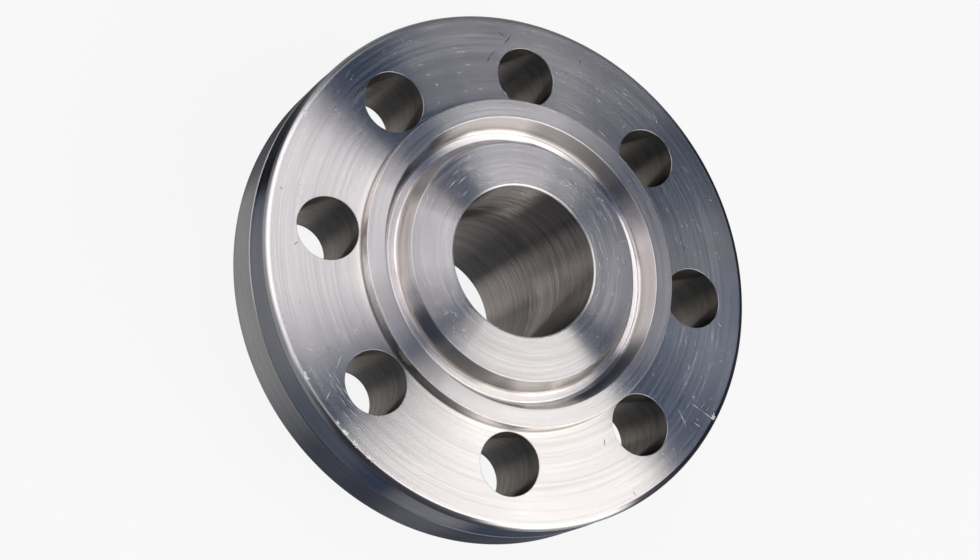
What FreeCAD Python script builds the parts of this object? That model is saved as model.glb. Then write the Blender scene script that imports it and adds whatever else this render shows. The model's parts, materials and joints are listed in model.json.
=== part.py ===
import FreeCAD, Part
import math
import os

# Weld neck ring type joint flange, NPS 3 class 1500, for a schedule 40 pipe.
# Frame: Z is the flange axis, the weld end stands on Z = 0 and the gasket face looks up.
# Angles are measured from +X, and the bolt holes straddle both axes.

# Flange ring
OUTSIDE_DIAMETER = 266.7
RIM_STEP = 0.4                 # radius by which the second turning cut left the rear of the rim larger
FRONT_CUT_DEPTH = 21.0         # how far the first turning cut runs down the rim from the bolting face
RING_THICKNESS = 47.75
FRONT_RIM_RADIUS = 3.0
REAR_RIM_BEVEL = 3.0

# Raised gasket face
RAISED_FACE_DIAMETER = 169.0
RAISED_FACE_HEIGHT = 7.92
RAISED_FACE_EDGE = 0.5         # bevel of the outer edge
RAISED_FACE_FOOT = 0.8         # bevelled corner where the raised face meets the bolting face

# Ring groove on the pitch circle of R35, cut for an oval or octagonal ring 12.7 mm wide
GROOVE_PITCH_DIAMETER = 136.53
GROOVE_WIDTH = 13.49
GROOVE_DEPTH = 9.52
GROOVE_WALL_ANGLE = 23.0       # from the flange axis
GROOVE_BOTTOM_BEVEL = 1.2
GROOVE_MOUTH_BEVEL = 0.4

# Bolting
BOLT_CIRCLE_DIAMETER = 203.2
BOLT_COUNT = 8
BOLT_HOLE_DIAMETER = 31.75
DRILL_OVERRUN = 1.0            # how far the drill passes each face

# Hub and weld end
LENGTH_THROUGH_HUB = 117.3     # bolting face to weld end
HUB_BASE_DIAMETER = 133.4      # where the taper would meet the rear face without its fillet
HUB_FILLET = 6.0
WELD_END_DIAMETER = 88.9
WELD_END_LAND = 16.0           # straight length at pipe diameter, bevel included
BEVEL_ANGLE = 37.5             # from the plane of the weld end
ROOT_FACE = 1.6

# Bore
BORE_DIAMETER = 77.93
BORE_MOUTH_BEVEL = 0.7


def radius(diameter):
    return diameter / 2.0


# Levels along the axis
REAR_FACE_Z = LENGTH_THROUGH_HUB - RING_THICKNESS
BOLTING_FACE_Z = LENGTH_THROUGH_HUB
GASKET_FACE_Z = BOLTING_FACE_Z + RAISED_FACE_HEIGHT

AXIS_FOOT = FreeCAD.Vector(0, 0, 0)
AXIS_DIRECTION = FreeCAD.Vector(0, 0, 1)
FULL_TURN = 360.0


def point(r, z):
    return FreeCAD.Vector(r, 0, z)


class Outline:
    """Closed outline in the XZ half plane, drawn corner by corner, each one sharp, round or bevelled."""

    def __init__(self):
        self.corners = []

    def corner(self, r, z, round_by=0.0, bevel_by=0.0):
        self.corners.append((point(r, z), round_by, bevel_by))

    def _corner_points(self, index):
        """Points along one corner: the corner itself, the ends of a bevel, or five points on a round."""
        here, round_by, bevel_by = self.corners[index]
        before = self.corners[index - 1][0]
        after = self.corners[(index + 1) % len(self.corners)][0]
        to_before = (before - here).normalize()
        to_after = (after - here).normalize()
        if bevel_by > 0:
            return [here + to_before * bevel_by, here + to_after * bevel_by]
        if round_by == 0:
            return [here]
        half = to_before.getAngle(to_after) / 2.0
        centre = here + (to_before + to_after).normalize() * (round_by / math.sin(half))
        tangent_length = round_by / math.tan(half)
        start = here + to_before * tangent_length - centre
        end = here + to_after * tangent_length - centre
        middle = (start + end).normalize() * round_by
        spokes = [start, start + middle, middle, middle + end, end]
        return [centre + spoke.normalize() * round_by for spoke in spokes]

    def face(self):
        """The outline's face, with each round as two equal arcs."""
        edges = []
        corners = [self._corner_points(index) for index in range(len(self.corners))]
        for index, points in enumerate(corners):
            if len(points) == 5:
                edges.append(Part.Arc(*points[0:3]).toShape())
                edges.append(Part.Arc(*points[2:5]).toShape())
            elif len(points) == 2:
                edges.append(Part.LineSegment(*points).toShape())
            next_start = corners[(index + 1) % len(corners)][0]
            edges.append(Part.LineSegment(points[-1], next_start).toShape())
        return Part.Face(Part.Wire(edges))

    def revolved(self):
        return self.face().revolve(AXIS_FOOT, AXIS_DIRECTION, FULL_TURN)


def draw_groove(outline):
    """Ring groove in the gasket face, from its outer mouth edge to its inner one."""
    wall_run = GROOVE_DEPTH * math.tan(math.radians(GROOVE_WALL_ANGLE))
    outer_mouth = radius(GROOVE_PITCH_DIAMETER) + GROOVE_WIDTH / 2.0
    inner_mouth = radius(GROOVE_PITCH_DIAMETER) - GROOVE_WIDTH / 2.0
    floor_z = GASKET_FACE_Z - GROOVE_DEPTH
    outline.corner(outer_mouth, GASKET_FACE_Z, bevel_by=GROOVE_MOUTH_BEVEL)
    outline.corner(outer_mouth - wall_run, floor_z, bevel_by=GROOVE_BOTTOM_BEVEL)
    outline.corner(inner_mouth + wall_run, floor_z, bevel_by=GROOVE_BOTTOM_BEVEL)
    outline.corner(inner_mouth, GASKET_FACE_Z, bevel_by=GROOVE_MOUTH_BEVEL)


def draw_rim(outline):
    """Edge of the ring, from the bolting face down to the rear face, with the step between two cuts."""
    front = radius(OUTSIDE_DIAMETER)
    rear = front + RIM_STEP
    step_z = BOLTING_FACE_Z - FRONT_CUT_DEPTH
    outline.corner(rear, REAR_FACE_Z, bevel_by=REAR_RIM_BEVEL)
    outline.corner(rear, step_z - RIM_STEP)
    outline.corner(front, step_z)
    outline.corner(front, BOLTING_FACE_Z, round_by=FRONT_RIM_RADIUS)


def draw_hub(outline):
    """Weld end with its bevel, the taper and the foot of the hub on the rear face."""
    pipe_wall = radius(WELD_END_DIAMETER) - radius(BORE_DIAMETER)
    bevel_width = pipe_wall - ROOT_FACE
    bevel_height = bevel_width * math.tan(math.radians(BEVEL_ANGLE))
    outline.corner(radius(BORE_DIAMETER) + ROOT_FACE, 0)
    outline.corner(radius(WELD_END_DIAMETER), bevel_height)
    outline.corner(radius(WELD_END_DIAMETER), WELD_END_LAND)
    outline.corner(radius(HUB_BASE_DIAMETER), REAR_FACE_Z, round_by=HUB_FILLET)


def turned_body():
    """The forging as it comes off the lathe: one outline, revolved about the axis."""
    outline = Outline()
    outline.corner(radius(BORE_DIAMETER), 0)
    draw_hub(outline)
    draw_rim(outline)
    outline.corner(radius(RAISED_FACE_DIAMETER), BOLTING_FACE_Z, bevel_by=RAISED_FACE_FOOT)
    outline.corner(radius(RAISED_FACE_DIAMETER), GASKET_FACE_Z, bevel_by=RAISED_FACE_EDGE)
    draw_groove(outline)
    outline.corner(radius(BORE_DIAMETER), GASKET_FACE_Z, bevel_by=BORE_MOUTH_BEVEL)
    return outline.revolved()


def bolt_hole_cutter(index):
    """A drill through the ring at the place of one bolt hole."""
    length = RING_THICKNESS + 2 * DRILL_OVERRUN
    foot = point(radius(BOLT_CIRCLE_DIAMETER), REAR_FACE_Z - DRILL_OVERRUN)
    cutter = Part.makeCylinder(radius(BOLT_HOLE_DIAMETER), length, foot)
    cutter.rotate(AXIS_FOOT, AXIS_DIRECTION, (index + 0.5) * FULL_TURN / BOLT_COUNT)
    return cutter


def flange():
    cutters = [bolt_hole_cutter(index) for index in range(BOLT_COUNT)]
    return turned_body().cut(cutters)


def save(name, shape):
    solid = shape.Solids[0]
    print(name, "solids", len(shape.Solids), "valid", solid.isValid(), "volume mm3", round(solid.Volume))
    solid.exportStep(os.path.join("parts", name + ".step"))


os.makedirs("parts", exist_ok=True)
save("flange", flange())
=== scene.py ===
import json
import math
import random
from collections import namedtuple

import bpy
from mathutils import Matrix, Vector
from mathutils.geometry import delaunay_2d_cdt


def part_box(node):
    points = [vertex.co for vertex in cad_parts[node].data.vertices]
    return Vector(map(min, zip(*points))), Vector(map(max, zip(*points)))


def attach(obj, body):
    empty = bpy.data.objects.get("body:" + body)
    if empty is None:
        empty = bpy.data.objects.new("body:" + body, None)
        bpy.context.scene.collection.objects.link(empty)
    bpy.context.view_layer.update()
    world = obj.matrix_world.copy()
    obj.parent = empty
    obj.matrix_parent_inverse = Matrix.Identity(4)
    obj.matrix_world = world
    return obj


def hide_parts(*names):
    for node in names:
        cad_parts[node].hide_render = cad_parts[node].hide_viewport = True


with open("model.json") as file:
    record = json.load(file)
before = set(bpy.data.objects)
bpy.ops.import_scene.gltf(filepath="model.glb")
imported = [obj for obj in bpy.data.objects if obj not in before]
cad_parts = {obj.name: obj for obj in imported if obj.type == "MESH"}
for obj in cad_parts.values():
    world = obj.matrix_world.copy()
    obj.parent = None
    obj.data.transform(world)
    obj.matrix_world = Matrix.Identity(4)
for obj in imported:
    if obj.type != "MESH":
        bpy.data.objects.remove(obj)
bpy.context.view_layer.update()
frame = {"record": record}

MM = 0.001

# Sizes that the frame states, in metres
mounts = {mount["name"]: mount for mount in frame["record"]["mounts"]}
GASKET_Z = mounts["gasket_land"]["pos_m"][2]
BOLTING_Z = mounts["bolting_face"]["pos_m"][2]
REAR_Z = mounts["nut_face"]["pos_m"][2]
BOLT_CIRCLE = mounts["bolts"]["dims"]["pcd_mm"] / 2 * MM
HOLE = mounts["bolts"]["dims"]["hole_r_mm"] * MM
HOLE_COUNT = mounts["bolts"]["dims"]["count"]
BORE = mounts["bore"]["dims"]["r_mm"] * MM
box_low, box_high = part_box("flange")
REAR_RIM = min(-box_low[0], box_high[0])

# Sizes of the turned section, in metres
RIM_STEP = 0.4 * MM
FRONT_RIM = REAR_RIM - RIM_STEP
FRONT_CUT_DEPTH = 21.0 * MM
FRONT_RIM_ROUND = 3.0 * MM
REAR_RIM_ROUND = 3.5 * MM
RAISED_FACE = 84.5 * MM
RAISED_FACE_EDGE = 0.5 * MM
RAISED_FACE_FOOT = 0.8 * MM
GROOVE_PITCH = 68.265 * MM
GROOVE_WIDTH = 13.49 * MM
GROOVE_DEPTH = 9.52 * MM
GROOVE_WALL_ANGLE = math.radians(23.0)
GROOVE_BOTTOM_ROUND = 2.2 * MM
GROOVE_MOUTH_ROUND = 0.6 * MM
BORE_MOUTH_ROUND = 0.95 * MM
HOLE_DEBURR = 0.25 * MM
HUB_BASE = 66.7 * MM
HUB_FILLET = 6.0 * MM
WELD_END = 44.45 * MM
WELD_END_LAND = 16.0 * MM
ROOT_FACE = 1.6 * MM
WELD_BEVEL_ANGLE = math.radians(37.5)
SMALL_BREAK = 0.2 * MM

# How finely the turned surface is divided
SEGMENTS = 720
HOLE_SEGMENTS = 96
ROUND_STEP = math.radians(10)

# Surface marks: how deep they are sunk in, how high they stand and how wide they are
SINK = 0.1 * MM
MARK_HEIGHT = 0.02 * MM
SCRATCH_WIDTH = 0.3 * MM
ARC_WIDTH = 0.2 * MM
TICK_WIDTH = 0.45 * MM
STRAY_WIDTH = 0.26 * MM
FINE_WIDTH = 0.17 * MM
ANY_WAY = math.pi / 2          # a stray scratch may lie at any angle to the tool marks
CHIP_HEIGHT = 0.18 * MM
BREAKS_PER_CHIP = 7
CHIP_AROUND = (-1.6, 1.6)      # in millimetres: where the breaks of a chip lie, and their sizes
CHIP_ACROSS = (-0.6, 0.7)
BREAK_HALF_LENGTH = (0.5, 1.2)
BREAK_WIDTH = (0.5, 1.05)
STRAY_LENGTHS = (0.2, 1.0)     # shares of the longest and the widest
STRAY_WIDTHS = (0.45, 1.0)
MARK_WEAR_SCALE = 900.0
MARK_WEAR_SHADE = (0.7, 1.1)
EDGE_CLEARANCE = 2.0 * MM      # how far stray scratches keep from the edges of a land
MARKS_SEED = 35

# Tool marks, and the noise that follows them
TOOL_PITCH = 0.7 * MM          # width of one mark
TOOL_DRIFT = 1.2               # how fast a mark fades round a turn
BAND_PITCHES = 7               # widths, in marks, of a band, of a streak and of what parts two thin lines
STREAK_PITCHES = 1.5
HAIR_PITCHES = 4
HAIR_WIDTH = 0.022             # of a thin line, as a share of the noise that draws it
HAIR_BRIGHTENING = 1.2
HAIR_NOISE = (0.42, 0.6)       # between these smudges, thin lines go from their first to their second share
HAIR_SHARE = (0.1, 1.0)
NOISE_SPREAD = 0.11            # how far the noise strays from its middle, as a rule
STREAK_NOISE = (0.36, 0.64)
SMUDGE_SCALE = 28.0            # smudges about 35 mm across
SMUDGE_NOISE = (0.3, 0.7)
SMUDGE_SHADE = (0.95, 1.03)
SMUDGE_ROUGHNESS = 0.015
LINE_CORE = 0.15 * MM          # a single dull line: full as far as this from its radius, gone at the edge
LINE_EDGE = 0.8 * MM
DULL_LINES = ((115.1 * MM, 0.05), (118.5 * MM, 0.025), (122.1 * MM, 0.035))
FACE_SHELF = (RAISED_FACE + 0.8 * MM, 88 * MM, 0.11)

# How squarely a round corner faces up, where its painted highlight starts and where it is full
SHOULDER_LIT = (0.55, 0.93)
SHOULDER_TOP = (0.93, 0.99)

# The ragged lower edge of a painted reflection that starts part of the way up a wall
STRANDS_ROUND = 3.0
STRAND_HEIGHT = 5 * MM
RAGGEDNESS = 34 * MM
RAGGED_EDGE_START = 10 * MM
RAGGED_EDGE_HEIGHT = 20 * MM

# Plain studio: a pale floor, a pale sweep round the horizon, a dim ceiling and soft lamps
FLOOR_HALF_WIDTH = 20.0
FLOOR_GREY = (0.62, 0.62, 0.62, 1)
FLOOR_WHITENESS = 0.88
SWEEP_TOP = math.radians(10)
SWEEP_FADE = 0.15
SWEEP_COLOUR = (0.55, 0.56, 0.58, 1)
CEILING_COLOUR = (0.016, 0.039, 0.098, 1)
SOFTBOX_DISTANCE = 1.8

# The camera stands where the photograph was taken from
PHOTO_WIDTH, PHOTO_HEIGHT = 980, 560
CAMERA_PLACE = Vector((126.1, -481.0, 938.35)) * MM
CAMERA_AIM = Vector((4.24, -18.06, 117.3)) * MM
CAMERA_ROLL = math.radians(59.32)
FOCAL_PIXELS = 1921.6
SENSOR = 36.0                  # width in millimetres

# Light scratches on the bolting face, by the photograph's pixels at both ends
FACE_SCRATCHES = [
    ((342, 354), (336, 370)), ((314, 366), (307, 374)), ((331, 390), (325, 402)), ((300, 344), (304, 347)),
    ((307, 348), (314, 351)), ((690, 402), (702, 411)), ((702, 411), (714, 420)), ((678, 408), (687, 428)),
    ((693, 422), (702, 428)), ((292, 187), (304, 184)), ((304, 184), (316, 186)), ((297, 194), (305, 201)),
    ((275, 199), (277, 203)), ((299, 241), (290, 246)), ((718, 323), (722, 327)), ((656, 120), (657, 123)),
    ((685, 251), (686, 253)), ((685, 341), (687, 343)), ((690, 364), (688, 371)), ((720, 360), (722, 362)),
]
# Dark ticks on the bolting face
FACE_TICKS = [
    ((633, 491), (636, 496)), ((604, 437), (605, 447)), ((581, 59), (579, 65)), ((487, 63), (490, 55)),
    ((490, 55), (496, 50)), ((503, 46), (512, 34)), ((497, 31), (507, 38)), ((279, 187), (284, 189)),
    ((293, 245), (299, 241)),
]
# Fine scratches that run round the face past the lower left bolt hole
ARC_SCRATCHES = [
    ((324, 366), (335, 382)), ((335, 382), (346, 398)), ((346, 398), (355, 407)), ((355, 407), (364, 415)),
    ((327, 376), (338, 394)), ((338, 394), (347, 407)), ((347, 407), (363, 422)), ((342, 410), (352, 422)),
    ((352, 422), (365, 435)), ((333, 372), (341, 386)), ((341, 386), (350, 398)),
]
# Light scuffs on the land inside the ring groove and on the land outside it
LAND_SCRATCHES = [
    ((444, 315), (449, 311)), ((449, 311), (455, 313)), ((455, 313), (457, 318)), ((449, 188), (456, 180)),
    ((452, 176), (460, 168)), ((458, 184), (466, 176)), ((464, 162), (472, 156)), ((559, 181), (564, 186)),
    ((564, 186), (571, 185)), ((574, 182), (577, 186)), ((597, 197), (600, 200)), ((601, 199), (604, 202)),
]
# Bright chips in the front edge of the rim
RIM_CHIPS = [(304, 376), (306, 379), (338, 420), (345, 432), (347, 434), (356, 444), (358, 446), (368, 456),
             (371, 459), (304, 113), (716, 418)]

UP = Vector((0, 0, 1))

Corner = namedtuple("Corner", "r z round_by rounded then")
Strip = namedtuple("Strip", "start start_normal end end_normal zone")
# A painted reflection or shade over part of a turn: the bearing of its middle from +X, how far it reaches to
# each side and how far it is full, all in degrees, how strong it is and the height that it starts above
PaintedSweep = namedtuple("PaintedSweep", "colour bearing reach full strength above", defaults=(0.0, 1.0, None))
# An added lean of the tool marks over part of a turn, with the same angles
Dip = namedtuple("Dip", "bearing reach full lean")


def flange_section():
    """Corners of the half section, from the bore's foot outward and back, each with what it leads to."""
    wall_run = GROOVE_DEPTH * math.tan(GROOVE_WALL_ANGLE)
    groove_outer = GROOVE_PITCH + GROOVE_WIDTH / 2
    groove_inner = GROOVE_PITCH - GROOVE_WIDTH / 2
    groove_floor = GASKET_Z - GROOVE_DEPTH
    bevel_height = (WELD_END - BORE - ROOT_FACE) * math.tan(WELD_BEVEL_ANGLE)
    step_z = BOLTING_Z - FRONT_CUT_DEPTH
    return [
        Corner(BORE, 0, SMALL_BREAK, "bore", "hub"),
        Corner(BORE + ROOT_FACE, 0, SMALL_BREAK, "hub", "hub"),
        Corner(WELD_END, bevel_height, SMALL_BREAK, "hub", "hub"),
        Corner(WELD_END, WELD_END_LAND, HUB_FILLET, "hub", "hub"),
        Corner(HUB_BASE, REAR_Z, HUB_FILLET, "hub", "rear_face"),
        Corner(REAR_RIM, REAR_Z, REAR_RIM_ROUND, "rim_corner", "rim_rear"),
        Corner(REAR_RIM, step_z - RIM_STEP, 0, "rim_rear", "rim_step"),
        Corner(FRONT_RIM, step_z, 0, "rim_rear", "rim_front"),
        Corner(FRONT_RIM, BOLTING_Z, FRONT_RIM_ROUND, "rim_corner", "bolting_face"),
        Corner(RAISED_FACE, BOLTING_Z, RAISED_FACE_FOOT, "foot", "raised_wall"),
        Corner(RAISED_FACE, GASKET_Z, RAISED_FACE_EDGE, "edge", "raised_land"),
        Corner(groove_outer, GASKET_Z, GROOVE_MOUTH_ROUND, "groove_mouth", "groove_outer"),
        Corner(groove_outer - wall_run, groove_floor, GROOVE_BOTTOM_ROUND, "outer_corner", "groove_floor"),
        Corner(groove_inner + wall_run, groove_floor, GROOVE_BOTTOM_ROUND, "inner_corner", "groove_inner"),
        Corner(groove_inner, GASKET_Z, GROOVE_MOUTH_ROUND, "groove_mouth", "inner_land"),
        Corner(BORE, GASKET_Z, BORE_MOUTH_ROUND, "edge", "bore"),
    ]


def outward(direction):
    """Normal of a straight run of the section: the solid lies on the left of the direction of travel."""
    return Vector((direction.y, -direction.x))


def section_strips(corners):
    """Straight and round strips of the section, each with its true normals at both ends."""
    arcs = []
    for index, corner in enumerate(corners):
        here = Vector((corner.r, corner.z))
        before = corners[index - 1]
        after = corners[(index + 1) % len(corners)]
        arriving = (here - Vector((before.r, before.z))).normalized()
        leaving = (Vector((after.r, after.z)) - here).normalized()
        turn = arriving.angle_signed(leaving)
        points = [(here, outward(arriving), outward(leaving))]
        if corner.round_by > 0:
            tangent_length = corner.round_by * math.tan(abs(turn) / 2)
            side = 1 if turn < 0 else -1
            start = here - arriving * tangent_length
            centre = start - outward(arriving) * corner.round_by * side
            steps = max(2, math.ceil(abs(turn) / ROUND_STEP))
            points = []
            for step in range(steps + 1):
                normal = Matrix.Rotation(-turn * step / steps, 2) @ outward(arriving)
                points.append((centre + normal * corner.round_by * side, normal, normal))
        arcs.append(points)
    strips = []
    for index, corner in enumerate(corners):
        points = arcs[index]
        for (start, _, start_normal), (end, end_normal, _) in zip(points, points[1:]):
            strips.append(Strip(start, start_normal, end, end_normal, corner.rounded))
        next_points = arcs[(index + 1) % len(corners)]
        strips.append(Strip(points[-1][0], points[-1][2], next_points[0][0], next_points[0][1], corner.then))
    return strips


class TurnedMesh:
    """Collects the vertices, faces, true normals and zones of the flange."""

    def __init__(self):
        self.vertices = []
        self.faces = []
        self.normals = []
        self.axes = []
        self.zones = []

    def ring(self, centre, radius, z, segments):
        """A circle of vertices about an upright axis at centre."""
        first = len(self.vertices)
        for step in range(segments):
            angle = 2 * math.pi * step / segments
            x, y = radius * math.cos(angle), radius * math.sin(angle)
            self.vertices.append((centre[0] + x, centre[1] + y, z))
        return range(first, first + segments)

    def face(self, corners, normals, zone, centre=(0.0, 0.0)):
        """One face, with the true normal at each corner and the centre that its tool marks run round."""
        self.faces.append(corners)
        self.normals.extend(normals)
        self.axes.extend([centre[0], centre[1], 0.0] * len(corners))
        self.zones.append(zone)

    def join(self, lower, upper, lower_normal, upper_normal, zone, centre=(0.0, 0.0)):
        """Quads between two rings; each normal is given as (outward, up)."""
        count = len(lower)
        for step in range(count):
            after = (step + 1) % count
            corners = [lower[step], lower[after], upper[after], upper[step]]
            normals = []
            for place, normal in ((step, lower_normal), (after, lower_normal), (after, upper_normal),
                                  (step, upper_normal)):
                angle = 2 * math.pi * place / count
                normals.append((normal[0] * math.cos(angle), normal[0] * math.sin(angle), normal[1]))
            self.face(corners, normals, zone, centre)

    def fill(self, outer, inner, holes, facing, zone):
        """A flat ring between two circles, with round holes left out of it."""
        loops = [outer, inner] + holes
        used = [vertex for loop in loops for vertex in loop]
        place = {vertex: index for index, vertex in enumerate(used)}
        edges = [(place[start], place[end]) for loop in loops
                 for start, end in zip(loop, (*loop[1:], loop[0]))]
        flat = [Vector(self.vertices[vertex][:2]) for vertex in used]
        _, _, triangles, sources, _, _ = delaunay_2d_cdt(flat, edges, [], 1, 1e-9)
        inner_radius = flat[place[inner[0]]].length
        centres = [hole_centre(index) for index in range(len(holes))]
        hole_radius = (flat[place[holes[0][0]]] - centres[0]).length
        for triangle in triangles:
            corners = [used[sources[corner][0]] for corner in triangle]
            middle = sum((flat[place[corner]] for corner in corners), Vector((0, 0))) / 3
            in_hole = any((middle - centre).length < hole_radius for centre in centres)
            if middle.length < inner_radius or in_hole:
                continue
            if facing < 0:
                corners.reverse()
            self.face(corners, [(0, 0, facing)] * 3, zone)

    def build(self, name, materials):
        mesh = bpy.data.meshes.new(name)
        mesh.from_pydata(self.vertices, [], self.faces)
        names = list(materials)
        for zone in names:
            mesh.materials.append(materials[zone])
        mesh.polygons.foreach_set("material_index", [names.index(zone) for zone in self.zones])
        mesh.polygons.foreach_set("use_smooth", [True] * len(self.faces))
        mesh.attributes.new("turning_axis", "FLOAT_VECTOR", "CORNER").data.foreach_set("vector", self.axes)
        mesh.normals_split_custom_set(self.normals)
        return placed(name, mesh)


def placed(name, data):
    """A new object of the scene that shows this mesh, lamp or camera."""
    thing = bpy.data.objects.new(name, data)
    bpy.context.scene.collection.objects.link(thing)
    return thing


def hole_centre(index):
    angle = (index + 0.5) * 2 * math.pi / HOLE_COUNT
    return Vector((BOLT_CIRCLE * math.cos(angle), BOLT_CIRCLE * math.sin(angle)))


def drill_holes(body):
    """Walls of the bolt holes with their broken edges. Returns the mouth rings at the two faces."""
    upper, lower = [], []
    mouth = HOLE + HOLE_DEBURR
    slope = math.sqrt(0.5)
    for index in range(HOLE_COUNT):
        centre = hole_centre(index)
        levels = [(mouth, BOLTING_Z), (HOLE, BOLTING_Z - HOLE_DEBURR),
                  (HOLE, REAR_Z + HOLE_DEBURR), (mouth, REAR_Z)]
        rings = [body.ring(centre, radius, z, HOLE_SEGMENTS) for radius, z in levels]
        body.join(rings[0], rings[1], (-slope, slope), (-slope, slope), "hole_edge", centre)
        body.join(rings[1], rings[2], (-1, 0), (-1, 0), "bolt_hole", centre)
        body.join(rings[2], rings[3], (-slope, -slope), (-slope, -slope), "hole_edge", centre)
        upper.append(rings[0])
        lower.append(rings[3])
    return upper, lower


def flange_skin(materials):
    body = TurnedMesh()
    strips = section_strips(flange_section())
    rings = [body.ring((0, 0), strip.start.x, strip.start.y, SEGMENTS) for strip in strips]
    upper_holes, lower_holes = drill_holes(body)
    for index, strip in enumerate(strips):
        start, end = rings[index], rings[(index + 1) % len(rings)]
        if strip.zone == "bolting_face":
            body.fill(start, end, upper_holes, 1, strip.zone)
        elif strip.zone == "rear_face":
            body.fill(end, start, lower_holes, -1, strip.zone)
        else:
            body.join(start, end, strip.start_normal, strip.end_normal, strip.zone)
    return body.build("flange_skin", materials)


class Nodes:
    """Short names for making and joining the nodes of one material or world."""

    def __init__(self, owner):
        owner.use_nodes = True
        self.tree = owner.node_tree
        self.tree.nodes.clear()

    def add(self, kind, **settings):
        node = self.tree.nodes.new(kind)
        for name, value in settings.items():
            setattr(node, name, value)
        return node

    def feed(self, socket, value):
        if isinstance(value, bpy.types.NodeSocket):
            self.tree.links.new(value, socket)
        else:
            socket.default_value = value

    def maths(self, operation, *values):
        node = self.add("ShaderNodeMath", operation=operation)
        for socket, value in zip(node.inputs, values):
            self.feed(socket, value)
        return node.outputs[0]

    def vector(self, operation, *values):
        node = self.add("ShaderNodeVectorMath", operation=operation)
        for socket, value in zip(node.inputs, values):
            self.feed(socket, value)
        return node.outputs["Value" if operation in ("LENGTH", "DOT_PRODUCT") else "Vector"]

    def scaled(self, vector, factor):
        node = self.add("ShaderNodeVectorMath", operation="SCALE")
        self.feed(node.inputs[0], vector)
        self.feed(node.inputs["Scale"], factor)
        return node.outputs[0]

    def combine(self, x, y, z):
        node = self.add("ShaderNodeCombineXYZ")
        for socket, value in zip(node.inputs, (x, y, z)):
            self.feed(socket, value)
        return node.outputs[0]

    def split(self, vector):
        node = self.add("ShaderNodeSeparateXYZ")
        self.feed(node.inputs[0], vector)
        return node.outputs

    def noise(self, vector, scale, detail=2.0, w=None):
        node = self.add("ShaderNodeTexNoise", noise_dimensions="3D" if w is None else "4D")
        self.feed(node.inputs["Vector"], vector)
        self.feed(node.inputs["Scale"], scale)
        self.feed(node.inputs["Detail"], detail)
        if w is not None:
            self.feed(node.inputs["W"], w)
        return node.outputs["Fac"]

    def position(self):
        return self.add("ShaderNodeTexCoord").outputs["Object"]

    def normal(self):
        return self.add("ShaderNodeNewGeometry").outputs["Normal"]

    def between(self, value, low, high, to_low, to_high, interpolation="LINEAR"):
        node = self.add("ShaderNodeMapRange", interpolation_type=interpolation)
        for socket, amount in zip(node.inputs, (value, low, high, to_low, to_high)):
            self.feed(socket, amount)
        return node.outputs[0]

    def smooth(self, value, low, high, to_low, to_high):
        return self.between(value, low, high, to_low, to_high, "SMOOTHSTEP")

    def mix_shaders(self, factor, first, second):
        node = self.add("ShaderNodeMixShader")
        for socket, value in zip(node.inputs, (factor, first, second)):
            self.feed(socket, value)
        return node.outputs[0]

    def mix_colour(self, factor, first, second):
        node = self.add("ShaderNodeMix", data_type="RGBA")
        self.feed(node.inputs["Factor"], factor)
        self.feed(node.inputs[6], first)
        self.feed(node.inputs[7], second)
        return node.outputs[2]

    def surface(self, shader, kind="ShaderNodeOutputMaterial"):
        self.feed(self.add(kind).inputs["Surface"], shader)


class ToolMarks:
    """How the tool marks of a surface run round its turning axis, and noise that follows them."""

    def __init__(self, nodes):
        self.nodes = nodes
        self.position = nodes.position()
        axis = nodes.add("ShaderNodeAttribute", attribute_name="turning_axis").outputs["Vector"]
        x, y, self.height = nodes.split(nodes.vector("SUBTRACT", self.position, axis))
        around = nodes.combine(nodes.maths("MULTIPLY", y, -1.0), x, 0.0)
        self.radius = nodes.vector("LENGTH", around)
        self.bearing = nodes.vector("NORMALIZE", nodes.combine(x, y, 0.0))
        self.turn_x, self.turn_y, _ = nodes.split(nodes.scaled(self.bearing, TOOL_DRIFT))
        self.normal = nodes.normal()
        self.across = nodes.vector("NORMALIZE", nodes.vector("CROSS_PRODUCT", around, self.normal))

    def noise(self, pitches, detail=2.0):
        """Noise that changes from mark to mark and slowly round a turn, this many marks wide."""
        width = TOOL_PITCH * pitches
        place = self.nodes.combine(self.nodes.maths("DIVIDE", self.radius, width),
                                   self.nodes.maths("DIVIDE", self.height, width), self.turn_x)
        return self.nodes.noise(place, 1.0, detail, self.turn_y)

    def slope(self, lean, marks, bands, shelf, dips):
        """How much the surface leans away from the axis: on the whole, by marks and bands, and by place."""
        nodes = self.nodes
        slope = lean
        for noise, size in ((self.noise(1), marks), (self.noise(BAND_PITCHES), bands)):
            off_middle = nodes.maths("SUBTRACT", noise, 0.5)
            slope = nodes.maths("MULTIPLY_ADD", off_middle, size / NOISE_SPREAD, slope)
        if shelf is not None:
            low, high, extra = shelf
            slope = nodes.maths("ADD", nodes.smooth(self.radius, low, high, extra, 0.0), slope)
        for dip in dips:
            share = stretch(nodes, self.bearing, dip.bearing, dip.reach, dip.full)
            slope = nodes.maths("MULTIPLY_ADD", share, dip.lean, slope)
        return slope

    def glint(self, smudge, hair, lines):
        """How dull the surface is along thin lines between the marks and along the single ones."""
        nodes = self.nodes
        fine = nodes.maths("ABSOLUTE", nodes.maths("SUBTRACT", self.noise(HAIR_PITCHES, 1.0), 0.5))
        glint = nodes.maths("MULTIPLY", nodes.smooth(fine, 0.0, HAIR_WIDTH, hair, 0.0),
                            nodes.smooth(smudge, *HAIR_NOISE, *HAIR_SHARE))
        for radius, strength in lines:
            away = nodes.maths("ABSOLUTE", nodes.maths("SUBTRACT", self.radius, radius))
            glint = nodes.maths("ADD", nodes.smooth(away, LINE_CORE, LINE_EDGE, strength, 0.0), glint)
        return glint


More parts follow.
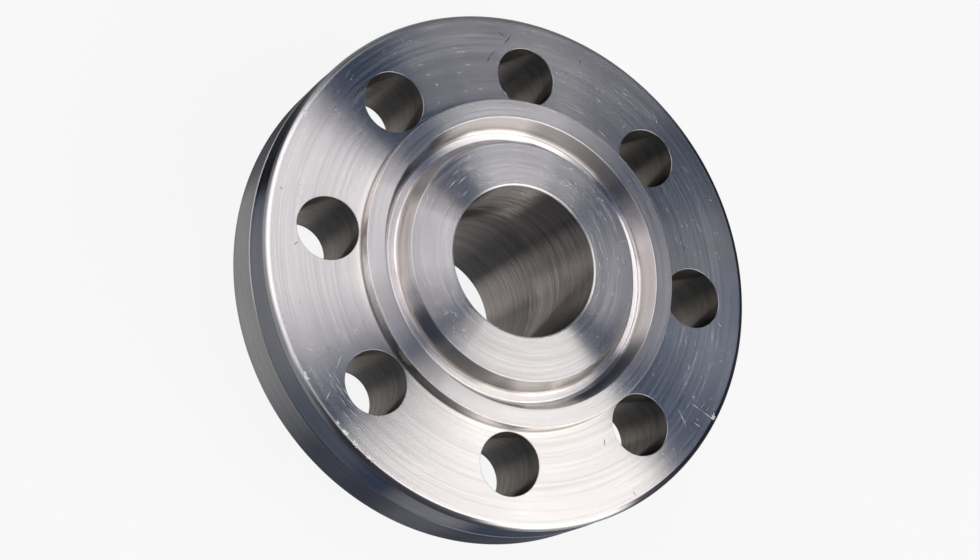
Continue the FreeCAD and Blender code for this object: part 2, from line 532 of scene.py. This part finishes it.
def turned_steel(name, colour, roughness=0.26, lean=0.0, fan=0.26, marks=0.009, bands=0.006, streaks=0.085,
                 film=0.03, hair=0.14, middle=0.44, painted_light_and_shade=None, metallic=0.97, edge_tint=1.0, shelf=None,
                 lines=(), dips=()):
    """Machined steel: its reflections spread across the tool marks, which run round the turning axis.

    The marks lean one way on the whole and fan out by three overlapping lobes, narrow along the marks, and
    middle is the weight of the middle lobe. marks and bands change the lean from one mark to the next, and
    streaks the colour. film is how much the dull part varies between marks, and hair how dull thin lines are.
    shelf leans the surface more between two radii, dips do so over part of a turn, and lines are single dull
    lines. Painted reflections, highlights and shade, if given, are laid over the colour, and edge_tint
    darkens what shines at a grazing angle.
    """
    material = bpy.data.materials.new(name)
    nodes = Nodes(material)
    lie = ToolMarks(nodes)
    slope = lie.slope(lean, marks, bands, shelf, dips)
    smudge = nodes.noise(lie.position, SMUDGE_SCALE, 3.0)
    line = lie.noise(STREAK_PITCHES, 3.0)
    glint = lie.glint(smudge, hair, lines)
    off_middle = nodes.maths("SUBTRACT", line, 0.5)
    dull = nodes.maths("MULTIPLY_ADD", off_middle, film / NOISE_SPREAD, 1.0 - metallic)
    bare = nodes.maths("SUBTRACT", 1.0, nodes.maths("MAXIMUM", nodes.maths("ADD", dull, glint), 0.0))
    streak = nodes.between(line, *STREAK_NOISE, 1.0 - streaks, 1.0 + streaks)
    streak = nodes.maths("MULTIPLY_ADD", glint, HAIR_BRIGHTENING, streak)
    worn = nodes.maths("MULTIPLY", nodes.between(smudge, *SMUDGE_NOISE, *SMUDGE_SHADE), streak)
    shade = nodes.scaled(colour if painted_light_and_shade is None else painted_light_and_shade(nodes, lie.bearing, colour), worn)
    rough = nodes.between(smudge, *SMUDGE_NOISE, roughness - SMUDGE_ROUGHNESS, roughness + SMUDGE_ROUGHNESS)
    lobes = []
    for offset in (-fan, fan, 0.0):
        tip = nodes.scaled(lie.across, nodes.maths("ADD", slope, offset))
        lobe = nodes.add("ShaderNodeBsdfPrincipled")
        nodes.feed(lobe.inputs["Base Color"], shade)
        nodes.feed(lobe.inputs["Metallic"], bare)
        nodes.feed(lobe.inputs["Specular Tint"], (edge_tint, edge_tint, edge_tint, 1.0))
        nodes.feed(lobe.inputs["Roughness"], rough)
        nodes.feed(lobe.inputs["Anisotropic"], 1.0)
        nodes.feed(lobe.inputs["Normal"], nodes.vector("NORMALIZE", nodes.vector("ADD", lie.normal, tip)))
        nodes.feed(lobe.inputs["Tangent"], lie.across)
        lobes.append(lobe.outputs[0])
    sides = nodes.mix_shaders(0.5, lobes[0], lobes[1])
    nodes.surface(nodes.mix_shaders(middle, sides, lobes[2]))
    return material


def stretch(nodes, bearing, centre, reach, full=0.0):
    """1 as far as full degrees from the bearing centre, fading to 0 at reach degrees."""
    facing = (math.cos(math.radians(centre)), math.sin(math.radians(centre)), 0.0)
    nearness = nodes.vector("DOT_PRODUCT", bearing, facing)
    return nodes.smooth(nearness, math.cos(math.radians(reach)), math.cos(math.radians(full)), 0.0, 1.0)


def above_height(nodes, bearing, low):
    """0 below a height and 1 some way above it, with a ragged edge between."""
    height = nodes.split(nodes.position())[2]
    strand = nodes.combine(0.0, 0.0, nodes.maths("DIVIDE", height, STRAND_HEIGHT))
    strands = nodes.vector("ADD", nodes.scaled(bearing, STRANDS_ROUND), strand)
    ragged = nodes.maths("MULTIPLY_ADD", nodes.noise(strands, 1.0, 4.0), RAGGEDNESS, height)
    foot = low + RAGGED_EDGE_START
    return nodes.smooth(ragged, foot, foot + RAGGED_EDGE_HEIGHT, 0.0, 1.0)


def painted_sweeps(*places):
    """Painted reflections and shade over parts of a turn, laid over one another in this order."""
    def shade(nodes, bearing, base):
        colour = (*base, 1.0)
        for place in places:
            share = stretch(nodes, bearing, place.bearing, place.reach, place.full)
            share = nodes.maths("MULTIPLY", share, place.strength)
            if place.above is not None:
                share = nodes.maths("MULTIPLY", share, above_height(nodes, bearing, place.above))
            colour = nodes.mix_colour(share, colour, (*place.colour, 1.0))
        return colour
    return shade


def both_sides(*places):
    """The same painted reflections again on the opposite side of the axis."""
    return (*places, *(place._replace(bearing=place.bearing + 180) for place in places))


def painted_shoulder(painted_highlight, painted_grey):
    """A round corner in painted shade, with painted grey in three parts of its turn and a painted highlight
    facing up.
    """
    painted_grey_parts = painted_sweeps(PaintedSweep(painted_grey, 165, 62, 35), PaintedSweep(painted_grey, 264, 34, 10), PaintedSweep(painted_grey, 352, 18, 4))

    def shade(nodes, bearing, base):
        upward = nodes.split(nodes.normal())[2]
        dim = painted_grey_parts(nodes, bearing, base)
        lit_part = nodes.maths("MAXIMUM", stretch(nodes, bearing, 247, 42, 26),
                               stretch(nodes, bearing, 350, 22, 6))
        lit = nodes.maths("MULTIPLY", lit_part, nodes.smooth(upward, *SHOULDER_LIT, 0.0, 1.0))
        top_highlight = nodes.maths("MULTIPLY", nodes.smooth(upward, *SHOULDER_TOP, 0.0, 1.0),
                          stretch(nodes, bearing, 280, 95, 70))
        return nodes.mix_colour(nodes.maths("MAXIMUM", lit, top_highlight), dim, (*painted_highlight, 1.0))
    return shade


def flange_painted_reflections():
    """Painted reflections and shade over parts of a turn, for the zones of the flange that mirror uneven
    surroundings.
    """
    # Colours of painted reflections, highlights and shadows that stand in for the uneven surroundings the
    # steel mirrors
    bright_reflection, dim_reflection = (0.92, 0.88, 0.85), (0.42, 0.40, 0.385)
    cool_reflection, blue_reflection = (0.56, 0.585, 0.615), (0.39, 0.415, 0.43)
    groove_blue_reflection, warm_grey_reflection, warm_white_highlight = (0.25, 0.28, 0.36), (0.42, 0.39, 0.37), (1.0, 0.95, 0.91)
    rim_light, rear_rim_light, step_light = (0.22, 0.225, 0.245), (0.34, 0.335, 0.335), (0.52, 0.51, 0.51)
    rim_shadow, rear_rim_shadow = (0.004, 0.006, 0.010), (0.03, 0.035, 0.05)
    hub_light, bore_light, hole_light = (0.42, 0.41, 0.41), (0.60, 0.54, 0.50), (0.15, 0.132, 0.115)
    # Painted reflections on both lands: one lighter sector and three darker ones
    land = [
        PaintedSweep(bright_reflection, 165, 28, 12, 0.65),
        PaintedSweep(dim_reflection, 221, 11, 3, 0.6),
        PaintedSweep(dim_reflection, 271, 12, 0, 0.2),
        PaintedSweep(dim_reflection, 300, 9, 0, 0.5),
    ]
    return {
        "bolting_face": [
            PaintedSweep(cool_reflection, 50, 30, 18, 0.9),
            PaintedSweep(blue_reflection, 104, 15, 5, 0.75),
            PaintedSweep(blue_reflection, 204, 13, 6, 0.6),
            PaintedSweep(blue_reflection, 288, 12, 3, 0.45),
        ],
        "raised_land": land,
        "inner_land": land,
        "groove_outer": [
            PaintedSweep((0.48, 0.45, 0.43), 95, 14, 5),
            PaintedSweep((0.19, 0.178, 0.168), 135, 25, 14),
            PaintedSweep((1.0, 0.93, 0.87), 353, 15, 7),
            PaintedSweep((0.7, 0.65, 0.62), 210, 8, 2),
        ],
        "outer_corner": [
            PaintedSweep((0.56, 0.52, 0.49), 106, 34, 23),
            PaintedSweep(groove_blue_reflection, 110, 12, 6, 0.8),
            PaintedSweep((0.58, 0.54, 0.51), 142, 17, 8),
            PaintedSweep((0.46, 0.43, 0.41), 27, 13, 5),
            PaintedSweep((0.85, 0.80, 0.76), 60, 22, 8),
            PaintedSweep(warm_grey_reflection, 204, 23, 13),
        ],
        "groove_floor": [PaintedSweep(groove_blue_reflection, 110, 12, 6, 0.8)],
        "inner_corner": [
            PaintedSweep(groove_blue_reflection, 110, 12, 6, 0.8),
            PaintedSweep((0.97, 0.92, 0.88), 182, 32, 20),
            PaintedSweep(warm_grey_reflection, 309, 17, 8),
            PaintedSweep((1.0, 0.94, 0.89), 354, 16, 6),
            PaintedSweep((0.97, 0.90, 0.86), 247, 16, 8),
        ],
        "groove_inner": [
            PaintedSweep((0.15, 0.17, 0.22), 290, 12, 5, 0.8),
            PaintedSweep((0.95, 0.90, 0.86), 271, 9, 3, 0.7),
            PaintedSweep(warm_white_highlight, 182, 32, 20),
            PaintedSweep(warm_grey_reflection, 345, 14, 6),
            PaintedSweep((0.25, 0.235, 0.22), 317, 22, 14),
        ],
        "foot": [PaintedSweep((0.20, 0.19, 0.18), 303, 22, 6)],
        "raised_wall": both_sides(PaintedSweep(warm_white_highlight, 266, 12, 4), PaintedSweep((0.28, 0.26, 0.25), 301, 25, 8)),
        "rim_front": [
            *both_sides(PaintedSweep(rim_light, 264, 28), PaintedSweep(rim_light, 295, 12, 0, 0.3),
                        PaintedSweep(rim_light, 322, 12)),
            PaintedSweep(rim_shadow, 216, 28, 20),
        ],
        "rim_step": both_sides(PaintedSweep(step_light, 250, 48)),
        "rim_rear": [
            *both_sides(PaintedSweep(rear_rim_light, 258, 40)),
            PaintedSweep(rear_rim_light, 322, 12, 0, 0.2),
            PaintedSweep(rear_rim_shadow, 226, 14, 4, 0.5),
            PaintedSweep(rear_rim_shadow, 311, 8, 0, 0.3),
            PaintedSweep(rear_rim_shadow, 338, 14, 0, 0.35),
        ],
        "bore": [
            PaintedSweep(bore_light, 92, 22, 0, 0.42),
            PaintedSweep(bore_light, 52, 44, 0, 0.2),
            PaintedSweep(bore_light, 178, 52, 0, 0.2),
            PaintedSweep(bore_light, 50, 44, 28, 0.6, 56 * MM),
            PaintedSweep(bore_light, 135, 30, 0, 0.12, 70 * MM),
            PaintedSweep((0.9, 0.85, 0.8), 164, 28, 10, 0.75, 84 * MM),
        ],
        "bolt_hole": [PaintedSweep(hole_light, 58, 47), PaintedSweep(hole_light, 178, 52, 0, 0.9)],
        "hub": both_sides(PaintedSweep(hub_light, 258, 44), PaintedSweep(hub_light, 332, 20, 0, 0.5)),
    }


def flange_materials():
    """One finish for each zone of the flange, its colour one steel made lighter or darker as painted light
    and shade.
    """
    steel = (0.66, 0.63, 0.605)
    land = dict(bands=0.012)
    wall_of_hole = dict(lean=0.1, fan=0.3, marks=0.03, bands=0.05, streaks=0.25)
    finishes_and_painted_shades = {
        "bolting_face": dict(colour=steel, lean=0.18, fan=0.24, shelf=FACE_SHELF, lines=DULL_LINES),
        "raised_land": dict(colour=(0.71, 0.675, 0.65), lean=0.10, metallic=0.92, **land),
        "inner_land": dict(colour=steel, lean=0.11, metallic=0.90, **land),
        "groove_mouth": dict(colour=steel, fan=0.2, metallic=0.9),
        "groove_outer": dict(colour=(0.36, 0.332, 0.31), lean=0.6, fan=0.12, streaks=0.08, hair=0.06),
        "outer_corner": dict(colour=(0.96, 0.90, 0.86), fan=0.10, metallic=0.93, streaks=0.08,
                             dips=[Dip(290, 90, 60, 0.3)]),
        "groove_floor": dict(colour=(0.96, 0.91, 0.88), fan=0.14, middle=0.12, metallic=0.95, streaks=0.06,
                             dips=[Dip(70, 42, 26, -0.4), Dip(170, 42, 26, -0.3)]),
        "inner_corner": dict(colour=(0.74, 0.68, 0.64), fan=0.10, metallic=0.9, streaks=0.08,
                             dips=[Dip(182, 32, 20, -0.6)]),
        "groove_inner": dict(colour=(0.62, 0.575, 0.54), lean=-0.35, fan=0.10, metallic=0.95, streaks=0.08,
                             hair=0.06, dips=[Dip(182, 32, 20, -0.1)]),
        "foot": dict(colour=(0.42, 0.39, 0.37), fan=0.2),
        "raised_wall": dict(colour=(0.86, 0.79, 0.74)),
        "edge": dict(colour=(0.82, 0.80, 0.78), roughness=0.3, fan=0.15, metallic=0.9),
        # The rim's colours: the steel painted dark, as painted shade for the dark surroundings that it
        # mirrors
        "rim_corner": dict(colour=(0.058, 0.055, 0.068), roughness=0.3, fan=0.15, metallic=0.85,
                           edge_tint=0.3,
                           painted_light_and_shade=painted_shoulder(painted_highlight=(0.94, 0.905, 0.875), painted_grey=(0.34, 0.335, 0.33))),
        "rim_front": dict(colour=(0.060, 0.074, 0.110), edge_tint=0.3),
        "rim_step": dict(colour=(0.13, 0.135, 0.155), edge_tint=0.3, fan=0.1),
        "rim_rear": dict(colour=(0.080, 0.086, 0.106), edge_tint=0.3),
        # The walls of the bore and bolt holes: the steel painted dark, as painted shade inside the holes
        "bore": dict(colour=(0.045, 0.042, 0.042), **wall_of_hole),
        "bolt_hole": dict(colour=(0.03, 0.028, 0.026), **wall_of_hole),
        "hole_edge": dict(colour=(0.42, 0.42, 0.43), roughness=0.35, fan=0.1),
        "rear_face": dict(colour=steel, lean=-0.14),
        # The hub: the steel painted dark, as painted shade like the rim's
        "hub": dict(colour=(0.11, 0.115, 0.13), edge_tint=0.3),
    }
    for zone, places in flange_painted_reflections().items():
        finishes_and_painted_shades[zone]["painted_light_and_shade"] = painted_sweeps(*places)
    return {zone: turned_steel(zone, **finish) for zone, finish in finishes_and_painted_shades.items()}


def camera_frame():
    """Where the camera stands and how it is turned."""
    level = (CAMERA_AIM - CAMERA_PLACE).to_track_quat("-Z", "Y").to_matrix().to_4x4()
    return Matrix.Translation(CAMERA_PLACE) @ level @ Matrix.Rotation(CAMERA_ROLL, 4, "Z")


def seen_at(pixel, height):
    """The point at this height that the photograph shows at this pixel."""
    across = (pixel[0] - PHOTO_WIDTH / 2) / FOCAL_PIXELS
    down = (pixel[1] - PHOTO_HEIGHT / 2) / FOCAL_PIXELS
    ray = camera_frame().to_3x3() @ Vector((across, -down, -1))
    return CAMERA_PLACE + ray * ((height - CAMERA_PLACE.z) / ray.z)


class Marks:
    """Scratches, ticks and chips as slender closed spindles that lie half sunk in the surface."""

    def __init__(self):
        self.vertices = []
        self.faces = []

    def spindle(self, start, end, width, height):
        middle = (start + end) / 2
        side = (end - start).cross(UP).normalized() * width / 2
        first = len(self.vertices)
        self.vertices += [start, end, middle + side, middle + UP * height, middle - side, middle - UP * SINK]
        for step in range(4):
            a, b = first + 2 + step, first + 2 + (step + 1) % 4
            self.faces += [(first, a, b), (first + 1, b, a)]

    def scratches(self, pixel_pairs, height, width):
        for pixels in pixel_pairs:
            start, end = (seen_at(pixel, height) for pixel in pixels)
            self.spindle(start, end, width, MARK_HEIGHT)

    def rim_chip(self, pixel, chance):
        """A cluster of small breaks where the bolting face turns into the rim's corner."""
        place = seen_at(pixel, BOLTING_Z)
        out = Vector((place.x, place.y, 0)).normalized()
        around = Vector((-out.y, out.x, 0))
        edge = out * (FRONT_RIM - FRONT_RIM_ROUND) + UP * BOLTING_Z
        for _ in range(BREAKS_PER_CHIP):
            middle = edge + around * chance.uniform(*CHIP_AROUND) * MM
            middle += out * chance.uniform(*CHIP_ACROSS) * MM
            lie = (around * chance.uniform(-1, 1) + out * chance.uniform(-1, 1)).normalized()
            half = lie * chance.uniform(*BREAK_HALF_LENGTH) * MM
            self.spindle(middle - half, middle + half, chance.uniform(*BREAK_WIDTH) * MM, CHIP_HEIGHT)

    def build(self, name, colour, roughness, metallic):
        mesh = bpy.data.meshes.new(name)
        mesh.from_pydata(self.vertices, [], self.faces)
        material = bpy.data.materials.new(name)
        nodes = Nodes(material)
        noise = nodes.noise(nodes.position(), MARK_WEAR_SCALE)
        wear = nodes.between(noise, *SMUDGE_NOISE, *MARK_WEAR_SHADE)
        surface = nodes.add("ShaderNodeBsdfPrincipled")
        nodes.feed(surface.inputs["Base Color"], nodes.scaled(colour, wear))
        nodes.feed(surface.inputs["Metallic"], metallic)
        nodes.feed(surface.inputs["Roughness"], roughness)
        nodes.surface(surface.outputs[0])
        mesh.materials.append(material)
        piece = placed(name, mesh)
        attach(piece, "root")


def stray_scratch(marks, chance, inner, outer, height, longest, widest, swing):
    """A short scratch between two radii, clear of the bolt holes, at most swing away from the tool marks."""
    radius, bearing = chance.uniform(inner, outer), chance.uniform(0, 2 * math.pi)
    place = Vector((radius * math.cos(bearing), radius * math.sin(bearing)))
    lie = bearing + math.pi / 2 + chance.uniform(-swing, swing)
    length = chance.uniform(*STRAY_LENGTHS) ** 2 * longest
    near_hole = any((place - hole_centre(index)).length < HOLE + longest for index in range(HOLE_COUNT))
    if height < GASKET_Z and near_hole:
        return
    half = Vector((math.cos(lie), math.sin(lie))) * length / 2
    start, end = (Vector((*(place + offset), height)) for offset in (-half, half))
    marks.spindle(start, end, chance.uniform(*STRAY_WIDTHS) * widest, MARK_HEIGHT)


def add_wear():
    """The marks that the photograph shows, and fine stray ones between them."""
    light, dark = Marks(), Marks()
    light.scratches(FACE_SCRATCHES, BOLTING_Z, SCRATCH_WIDTH)
    light.scratches(ARC_SCRATCHES, BOLTING_Z, ARC_WIDTH)
    light.scratches(LAND_SCRATCHES, GASKET_Z, SCRATCH_WIDTH)
    dark.scratches(FACE_TICKS, BOLTING_Z, TICK_WIDTH)
    chance = random.Random(MARKS_SEED)
    for pixel in RIM_CHIPS:
        light.rim_chip(pixel, chance)
    groove_reach = 9 * MM
    face = (RAISED_FACE + EDGE_CLEARANCE, FRONT_RIM - 2 * EDGE_CLEARANCE, BOLTING_Z)
    inner_land = (BORE + EDGE_CLEARANCE, GROOVE_PITCH - groove_reach, GASKET_Z)
    outer_land = (GROOVE_PITCH + groove_reach, RAISED_FACE - EDGE_CLEARANCE, GASKET_Z)
    for marks, count, where, longest, widest, swing in (
            (light, 150, face, 2.6 * MM, STRAY_WIDTH, ANY_WAY),
            (light, 260, face, 8 * MM, FINE_WIDTH, 0.3),
            (dark, 40, face, 1.6 * MM, STRAY_WIDTH, ANY_WAY),
            (light, 50, inner_land, 2.0 * MM, STRAY_WIDTH, ANY_WAY),
            (light, 90, inner_land, 7 * MM, FINE_WIDTH, 0.25),
            (light, 30, outer_land, 1.8 * MM, STRAY_WIDTH, ANY_WAY)):
        for _ in range(count):
            stray_scratch(marks, chance, *where, longest, widest, swing)
    light.build("light_scratches", (0.85, 0.83, 0.81), roughness=0.45, metallic=0.55)
    dark.build("dark_ticks", (0.05, 0.05, 0.06), roughness=0.5, metallic=0.4)


def pale_floor():
    """A plain pale floor that keeps the shadow and shows the same to the camera and to the metal."""
    mesh = bpy.data.meshes.new("floor")
    half = FLOOR_HALF_WIDTH
    corners = [(-half, -half, 0), (half, -half, 0), (half, half, 0), (-half, half, 0)]
    mesh.from_pydata(corners, [], [(0, 1, 2, 3)])
    floor = placed("floor", mesh)
    material = bpy.data.materials.new("floor")
    nodes = Nodes(material)
    rays = nodes.add("ShaderNodeLightPath").outputs
    seen = nodes.maths("MAXIMUM", nodes.maths("MAXIMUM", rays["Is Camera Ray"], rays["Is Glossy Ray"]),
                       rays["Is Transmission Ray"])
    paint = nodes.add("ShaderNodeBsdfDiffuse")
    nodes.feed(paint.inputs["Color"], FLOOR_GREY)
    white = nodes.add("ShaderNodeEmission")
    nodes.feed(white.inputs["Color"], (1, 1, 1, 1))
    nodes.feed(white.inputs["Strength"], 1.0)
    share = nodes.maths("MULTIPLY", seen, FLOOR_WHITENESS)
    nodes.surface(nodes.mix_shaders(share, paint.outputs[0], white.outputs[0]))
    mesh.materials.append(material)


def studio_world():
    """A pale sweep round the horizon under a dim, slightly blue ceiling."""
    world = bpy.data.worlds.new("studio")
    bpy.context.scene.world = world
    nodes = Nodes(world)
    upward = nodes.split(nodes.add("ShaderNodeTexCoord").outputs["Generated"])[2]
    height = nodes.between(upward, math.sin(SWEEP_TOP), math.sin(SWEEP_TOP) + SWEEP_FADE, 0.0, 1.0)
    background = nodes.add("ShaderNodeBackground")
    nodes.feed(background.inputs["Color"], nodes.mix_colour(height, SWEEP_COLOUR, CEILING_COLOUR))
    nodes.surface(background.outputs[0], "ShaderNodeOutputWorld")


def softbox(name, azimuth, elevation, width, height, spin, radiance, colour):
    """A rectangular lamp that faces the middle of the gasket face; its angles are in degrees."""
    data = bpy.data.lights.new(name, "AREA")
    data.shape = "RECTANGLE"
    data.size = width
    data.size_y = height
    data.color = colour
    data.energy = radiance * math.pi * width * height
    lamp = placed(name, data)
    bearing, height_angle = math.radians(azimuth), math.radians(elevation)
    towards = Vector((math.cos(height_angle) * math.cos(bearing), math.cos(height_angle) * math.sin(bearing),
                      math.sin(height_angle)))
    lamp.location = UP * GASKET_Z + towards * SOFTBOX_DISTANCE
    lamp.rotation_mode = "QUATERNION"
    spun = Matrix.Rotation(math.radians(spin), 4, "Z")
    lamp.rotation_quaternion = (towards.to_track_quat("Z", "Y").to_matrix().to_4x4() @ spun).to_quaternion()


def photo_camera():
    """The camera of the photograph, where it stood."""
    data = bpy.data.cameras.new("camera")
    data.sensor_width = SENSOR
    data.lens = FOCAL_PIXELS * SENSOR / PHOTO_WIDTH
    camera = placed("camera", data)
    camera.matrix_world = camera_frame()
    bpy.context.scene.camera = camera


skin = flange_skin(flange_materials())
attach(skin, "root")
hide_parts("flange")
add_wear()

pale_floor()
studio_world()
softbox("right_softbox", azimuth=19.1, elevation=46.8, width=2.11, height=2.49, spin=-7.2, radiance=1.98,
        colour=(1.0, 0.978, 0.955))
softbox("left_softbox", azimuth=-144.3, elevation=55.5, width=1.64, height=2.20, spin=19.0, radiance=1.72,
        colour=(1.0, 0.968, 0.982))
photo_camera()
bpy.context.scene.view_settings.view_transform = "Standard"
